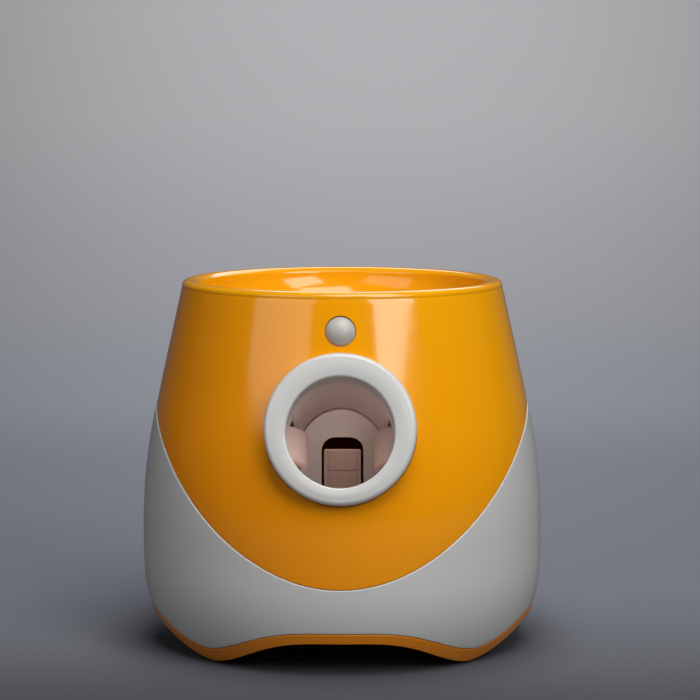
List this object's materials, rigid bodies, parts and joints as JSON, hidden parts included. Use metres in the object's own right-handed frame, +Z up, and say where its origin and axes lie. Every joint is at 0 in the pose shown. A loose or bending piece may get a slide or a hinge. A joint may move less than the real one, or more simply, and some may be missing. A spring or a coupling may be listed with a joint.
{
  "type": "automatic dog ball launcher",
  "caption": "Round automatic ball launcher for dogs: a top hopper feeds a tilted tube where two spinning wheels throw the ball out of a front nozzle.",
  "frame": {"origin": "on the floor plane under the centre of the outer box; the round housing's own axis stands 2.76 mm behind it, because the nozzle ring stands out in front", "axes": "+Z up, -Y out of the nozzle (front), +X to the right seen from the front; +Y is the longest extent and the mount floor_rest faces -Z"},
  "size_m": [0.245, 0.2505, 0.221],
  "materials": {
    "shell_orange": "glossy moulded",
    "shell_white": "glossy moulded",
    "base_orange": "satin moulded",
    "rubber_black": "matt",
    "tube_grey": "matt moulded",
    "paddle_plastic": "satin moulded",
    "tyre_silicone": "matt silicone",
    "hub_black": "matt",
    "motor_steel": "satin",
    "shaft_steel": "polished",
    "zinc_steel": "zinc plated",
    "lens_white": "translucent satin",
    "board_green": "solder mask",
    "chip_black": "satin",
    "panel_black": "fine texture",
    "button_grey": "satin",
    "led_green": "translucent",
    "box_black": "matt moulded",
    "cell_wrap": "plain printed sleeve"
  },
  "bodies": {
    "housing": {"upper_shell": "shell_orange", "hopper": "shell_orange", "lower_shell": "shell_white", "base_tray": "base_orange", "foot_pads": "rubber_black", "nozzle_ring": "shell_white", "launch_tube": "tube_grey", "ball_cradle": "tube_grey", "drive_motor_left": "motor_steel", "drive_motor_right": "motor_steel", "feed_motor": "motor_steel", "feed_motor_bracket": "zinc_steel", "pir_lens": "lens_white", "pir_sensor": "zinc_steel", "pir_board": "board_green", "ball_sensors": "chip_black", "control_panel": "panel_black", "indicator_leds": "led_green", "button_board": "board_green", "button_switches": "chip_black", "dc_jack": "panel_black", "main_board": "board_green", "board_parts": "chip_black", "speaker": "chip_black", "battery_box": "box_black", "battery_cells": "cell_wrap", "battery_contacts": "zinc_steel", "case_screws": "zinc_steel", "tube_screws": "zinc_steel", "motor_screws": "zinc_steel", "base_screws": "zinc_steel"},
    "flywheel_left": {"flywheel_left_tyre": "tyre_silicone", "flywheel_left_hub": "hub_black", "motor_shaft_left": "shaft_steel"},
    "flywheel_right": {"flywheel_right_tyre": "tyre_silicone", "flywheel_right_hub": "hub_black", "motor_shaft_right": "shaft_steel"},
    "paddle": {"feed_paddle": "paddle_plastic", "paddle_shaft": "shaft_steel", "paddle_collars": "shaft_steel"},
    "power_button": {"power_button": "button_grey"},
    "range_button": {"range_button": "button_grey"},
    "battery_door": {"battery_door": "base_orange"}
  },
  "joints": [
    {"name": "flywheel_left_spin", "type": "hinge", "parent": "housing", "child": "flywheel_left", "pos_m": [-0.0405, -0.0756, 0.1266], "axis": [0, 0.4226, 0.9063], "continuous": true},
    {"name": "flywheel_right_spin", "type": "hinge", "parent": "housing", "child": "flywheel_right", "pos_m": [0.0405, -0.0756, 0.1266], "axis": [0, 0.4226, 0.9063], "continuous": true},
    {"name": "paddle_swing", "type": "hinge", "parent": "housing", "child": "paddle", "pos_m": [0, 0.01726, 0.048], "axis": [1, 0, 0], "range_deg": [0, 30]},
    {"name": "power_button_press", "type": "slide", "parent": "housing", "child": "power_button", "axis": [0, -0.9759, -0.2181], "range_m": [0, 0.001], "stiffness_N_per_m": 400, "springref_m": -0.0005},
    {"name": "range_button_press", "type": "slide", "parent": "housing", "child": "range_button", "axis": [0, -0.9759, -0.2181], "range_m": [0, 0.001], "stiffness_N_per_m": 400, "springref_m": -0.0005},
    {"name": "battery_door_swing", "type": "hinge", "parent": "housing", "child": "battery_door", "pos_m": [0, -0.00484, 0.0212], "axis": [1, 0, 0], "range_deg": [0, 75]}
  ]
}
